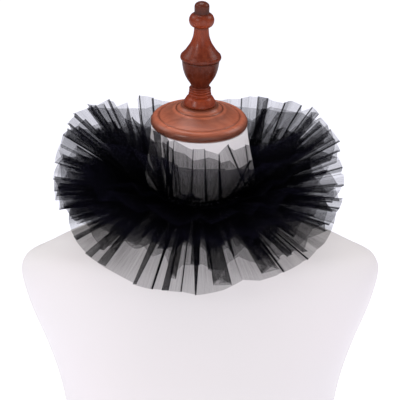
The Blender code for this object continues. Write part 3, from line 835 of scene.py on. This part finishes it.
def column_edge(ply, column, waves):
    """Where a column ends at the free edge."""
    turn = column["edge"]
    wave = sum(size * sin(count * turn + start) for count, start, size in waves)
    wave *= min(1.0, max(ply["swings"]) / FULL_WAVE_SWING)
    angle = radians(round_the_ring(ply["angles"], turn) + wave)
    short = notch_loss(turn) if ply["name"] == TOP_PLY else 0.0
    out = round_the_ring(ply["reaches"], turn) - short + column["end"]
    lift = column["offset"] + column["layer"] * FOLD_GAP_EDGE
    away = ROOT_RADIUS + out * cos(angle)
    turn += column["edge_shift"] / away
    away -= lift * sin(angle)
    height = ply["root_height"] - front_dip(turn, ply["root_height"]) + out * sin(angle) + lift * cos(angle)
    return Vector((away * sin(turn), -away * cos(turn), height))


def ply_rings(ply):
    """The ply's surface: a ring of points for each step along the straight lines from root to free edge."""
    chance = Random(ply["seed"] * 7 + 1)
    waves = [(count, chance.uniform(0.0, tau), size) for count, size in EDGE_WAVES]
    columns = ply_columns(ply_folds(ply), ply["soft"])
    lines = [(*column_root(ply, column), column_edge(ply, column, waves)) for column in columns]
    rings = []
    for row in range(PLY_ROWS):
        share = row / (PLY_ROWS - 1)
        points = [root.lerp(edge, share) + bump * (1.0 - share) ** GATHER_FADE for root, bump, edge in lines]
        rings.append([leaned(point, RING_MIDDLE, RING_LEAN) for point in points])
    return rings


# ---------------------------------------------------------------- settings


def colour_setting(name, description, default):
    """A setting that holds a colour."""
    return FloatVectorProperty(name=name, description=description, default=default, subtype="COLOR")


class TulleSettings(bpy.types.PropertyGroup):
    """The collar's net and ribbon."""

    tulle_colour: colour_setting(
        "Tulle", "Colour of the net's threads near the free edge", (0.0036, 0.0032, 0.0072),
    )
    # Painted shade: the threads are darkened to this deep in the gathers, where the net shades itself.
    gathered_shade_colour: colour_setting(
        "Gathered tulle", "Colour of the threads deep in the gathers, in their own shade",
        (0.0001, 0.0001, 0.0003),
    )
    tulle_cover: FloatProperty(
        name="Cover", description="Share of one layer that its threads cover", default=0.29, min=0.0, max=1.0,
        subtype="FACTOR",
    )
    closer_cover: FloatProperty(
        name="Close gathers", description="Share of the lowest ply that its threads cover",
        default=0.38, min=0.0, max=1.0, subtype="FACTOR",
    )
    net_cell: FloatProperty(
        name="Net cell", description="Width of one hole of the net", default=0.0016, unit="LENGTH",
    )
    ribbon_colour: colour_setting("Ribbon", "Colour of the neckband", (0.004, 0.004, 0.006))


class FormSettings(bpy.types.PropertyGroup):
    """The dress form's cover and its turned wood."""

    cover_colour: colour_setting("Cover", "Main colour of the knitted cover", (0.72, 0.695, 0.695))
    cover_blush: colour_setting("Blush", "Warmer colour in soft patches", (0.74, 0.685, 0.695))
    cap_light: colour_setting("Cap, light grain", "Lighter grain of the neck cap", (0.50, 0.135, 0.066))
    cap_dark: colour_setting("Cap, dark grain", "Darker grain of the neck cap", (0.36, 0.088, 0.043))
    finial_light: colour_setting("Finial, light grain", "Lighter grain of the finial", (0.56, 0.085, 0.022))
    finial_dark: colour_setting("Finial, dark grain", "Darker grain of the finial", (0.38, 0.046, 0.012))


class StudioSettings(bpy.types.PropertyGroup):
    """Camera and light."""

    distance: FloatProperty(
        name="Distance", description="From the camera to the neck's axis", default=1.253, unit="LENGTH",
    )
    aim_height: FloatProperty(
        name="Aim height", description="Height on the axis that the camera looks at",
        default=0.450, unit="LENGTH",
    )
    pitch: FloatProperty(
        name="Pitch", description="How far the camera looks down", default=radians(10.0), subtype="ANGLE",
    )
    lens: FloatProperty(
        name="Lens", description="Focal length in millimetres on a 36 mm frame", default=104.4,
    )
    room_light: FloatProperty(
        name="Room light", description="Strength of the even light all round", default=0.52,
    )
    floor_glow: FloatProperty(name="Floor glow", description="Strength of the lit floor", default=0.62)


# ---------------------------------------------------------------- operators


class MakeForm(bpy.types.Operator):
    """Build the covered neck, shoulders, bust and waist"""

    bl_idname = "ruff.make_form"
    bl_label = "Dress form"

    def execute(self, context):
        form = new_object("form_body", form_mesh(), cover_material(context.scene.ruff_form))
        form.data.set_sharp_from_angle(angle=radians(FORM_SHARP_ANGLE))
        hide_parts("dress_form")
        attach(form, "root")
        return {"FINISHED"}


class MakeWood(bpy.types.Operator):
    """Build the turned neck cap and finial"""

    bl_idname = "ruff.make_wood"
    bl_label = "Neck cap and finial"

    def execute(self, context):
        settings = context.scene.ruff_form
        cap_wood = wood_material(
            "Cap wood", settings.cap_light, settings.cap_dark,
            CAP_PAINTED_SHADING, True, CAP_GRAIN, CAP_GLOSS,
        )
        finial_wood = wood_material(
            "Finial wood", settings.finial_light, settings.finial_dark,
            FINIAL_PAINTED_SHADING, False, FINIAL_GRAIN, FINIAL_GLOSS,
        )
        for name, node, profile, wood in (
            ("cap_turned", "neck_cap", CAP_PROFILE, cap_wood),
            ("finial_turned", "finial", FINIAL_PROFILE, finial_wood),
        ):
            piece = new_object(name, turned_mesh(profile), wood)
            piece.data.set_sharp_from_angle(angle=radians(WOOD_SHARP_ANGLE))
            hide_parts(node)
            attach(piece, "root")
        return {"FINISHED"}


class MakeNeckband(bpy.types.Operator):
    """Build the ribbon that the tulle is sewn to"""

    bl_idname = "ruff.make_neckband"
    bl_label = "Neckband"

    def execute(self, context):
        width = 2.0 * BAND_HALF_HEIGHT * MM
        ribbon = ribbon_material(context.scene.ruff_tulle)
        band = new_object("neckband_ribbon", wrapped(band_rings(), width), ribbon)
        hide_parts("neckband")
        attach(band, "root")
        return {"FINISHED"}


class MakePlies(bpy.types.Operator):
    """Build the collar's pleated plies of tulle"""

    bl_idname = "ruff.make_plies"
    bl_label = "Tulle plies"

    def execute(self, context):
        settings, group = context.scene.ruff_tulle, net_group()
        tulle = tulle_material("Tulle", settings, group, settings.tulle_cover)
        closer = tulle_material("Tulle, close gathers", settings, group, settings.closer_cover)
        for ply in table(PLY_COLUMNS, PLIES):
            width = sum(ply["reaches"]) / len(ply["reaches"]) * MM
            net = closer if ply["name"] == CLOSE_PLY else tulle
            piece = new_object(ply["name"], wrapped(ply_rings(ply), width), net)
            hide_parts(ply["node"])
            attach(piece, "root")
        return {"FINISHED"}


def studio_world(room_light):
    """A white backdrop whose even light is weaker than it looks, and weaker still in gloss."""
    world = bpy.data.worlds.new("Studio")
    world.use_nodes = True
    tree = world.node_tree
    backdrop = tree.nodes["Background"]
    backdrop.inputs["Color"].default_value = (1.0, 1.0, 1.0, 1.0)
    paths = tree.nodes.new("ShaderNodeLightPath")
    dimming = math_node(tree, "MULTIPLY", paths.outputs["Is Glossy Ray"], MIRROR_LOSS)
    room = math_node(tree, "MULTIPLY", math_node(tree, "SUBTRACT", 1.0, dimming), room_light)
    strength = math_node(tree, "MAXIMUM", room, paths.outputs["Is Camera Ray"])
    tree.links.new(strength, backdrop.inputs["Strength"])
    return world


def floor_material(glow):
    """Pale floor that glows a little, and less where gloss mirrors it."""
    finish = {"Base Color": (0.9, 0.9, 0.9, 1.0), "Roughness": 0.9}
    finish |= {"Specular IOR Level": 0.0, "Emission Strength": glow}
    material, tree, shader = node_material("Floor", finish)
    mirrored = tree.nodes.new("ShaderNodeLightPath").outputs["Is Glossy Ray"]
    tree.links.new(mix_colours(tree, mirrored, GLOW_COLOUR, MIRRORED_GLOW), shader.inputs["Emission Color"])
    return material


def add_light(scene, row):
    light = bpy.data.lights.new(row["name"], "AREA")
    light.size = row["size"]
    light.energy = row["power"]
    lamp = bpy.data.objects.new(row["name"], light)
    lamp.location = row["place"]
    lamp.rotation_euler = (Vector(LIGHT_AIM) - Vector(row["place"])).to_track_quat("-Z", "Y").to_euler()
    scene.collection.objects.link(lamp)


def add_camera(scene, settings):
    camera = bpy.data.cameras.new("camera")
    camera.sensor_width = FILM_WIDTH
    camera.lens = settings.lens
    eye = bpy.data.objects.new("camera", camera)
    away, rise = settings.distance * cos(settings.pitch), settings.distance * sin(settings.pitch)
    eye.location = (0.0, -away, settings.aim_height + rise)
    eye.rotation_euler = (pi / 2.0 - settings.pitch, 0.0, 0.0)
    scene.collection.objects.link(eye)
    scene.camera = eye


class MakeStudio(bpy.types.Operator):
    """Build the floor, the lights and the camera"""

    bl_idname = "ruff.make_studio"
    bl_label = "Studio"

    def execute(self, context):
        scene = context.scene
        settings = scene.ruff_studio
        scene.world = studio_world(settings.room_light)
        scene.view_settings.view_transform = "Standard"
        scene.cycles.transparent_max_bounces = CLEAR_LAYERS
        bm = bmesh.new()
        bmesh.ops.create_grid(bm, x_segments=2, y_segments=2, size=FLOOR_HALF_WIDTH)
        floor = new_object("floor", bm, floor_material(settings.floor_glow))
        for row in table(LIGHT_COLUMNS, LIGHTS):
            add_light(scene, row)
        add_camera(scene, settings)
        return {"FINISHED"}


class RuffPanel(bpy.types.Panel):
    """Lists the pieces in the sidebar"""

    bl_idname = "VIEW3D_PT_ruff"
    bl_label = "Ruff collar"
    bl_space_type = "VIEW_3D"
    bl_region_type = "UI"
    bl_category = "Ruff"

    def draw(self, context):
        for operator in OPERATORS:
            self.layout.operator(operator.bl_idname)
        for name, group in SETTINGS:
            settings = getattr(context.scene, name)
            for prop in group.__annotations__:
                self.layout.prop(settings, prop)


OPERATORS = (MakeForm, MakeWood, MakeNeckband, MakePlies, MakeStudio)
SETTINGS = (("ruff_tulle", TulleSettings), ("ruff_form", FormSettings), ("ruff_studio", StudioSettings))


def register():
    for name, group in SETTINGS:
        bpy.utils.register_class(group)
        setattr(bpy.types.Scene, name, PointerProperty(type=group))
    for cls in (*OPERATORS, RuffPanel):
        bpy.utils.register_class(cls)


def unregister():
    for cls in (RuffPanel, *reversed(OPERATORS)):
        bpy.utils.unregister_class(cls)
    for name, group in reversed(SETTINGS):
        delattr(bpy.types.Scene, name)
        bpy.utils.unregister_class(group)


def main():
    register()
    bpy.ops.ruff.make_form()
    bpy.ops.ruff.make_wood()
    bpy.ops.ruff.make_neckband()
    bpy.ops.ruff.make_plies()
    bpy.ops.ruff.make_studio()


if __name__ == "__main__":
    main()
